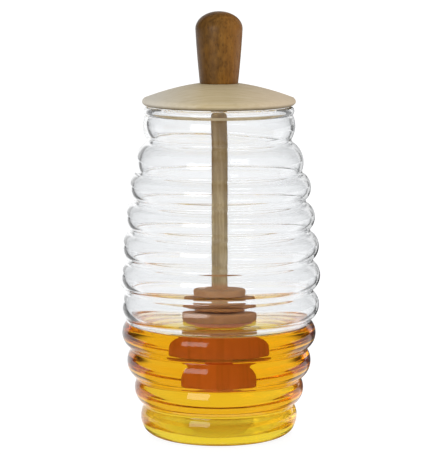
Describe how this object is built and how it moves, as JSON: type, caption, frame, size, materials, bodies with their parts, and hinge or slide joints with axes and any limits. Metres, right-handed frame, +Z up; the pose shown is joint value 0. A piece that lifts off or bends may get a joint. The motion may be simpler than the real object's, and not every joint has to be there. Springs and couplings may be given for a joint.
{
  "type": "glass honey jar",
  "caption": "Beehive-ribbed glass honey jar with a domed wooden lid, a wooden knob and a dipper that stands in the honey.",
  "frame": {"origin": "centre of the foot, on the surface that the jar stands on", "axes": "+Z up along the jar's axis; every piece is turned about it, so X and Y are equal"},
  "size_m": [0.0844, 0.084, 0.1763],
  "materials": {
    "glass": "clear, smooth, blown",
    "honey": "clear golden honey, glossy where it is bare",
    "lid_wood": "pale turned wood, dry and matt",
    "knob_wood": "brown turned wood, oiled, with a soft sheen",
    "dipper_wood": "light brown turned wood, fine grain"
  },
  "bodies": {
    "root": {"glass_jar": "glass", "honey": "honey", "lid": "lid_wood", "knob": "knob_wood", "dipper": "dipper_wood"}
  },
  "joints": []
}
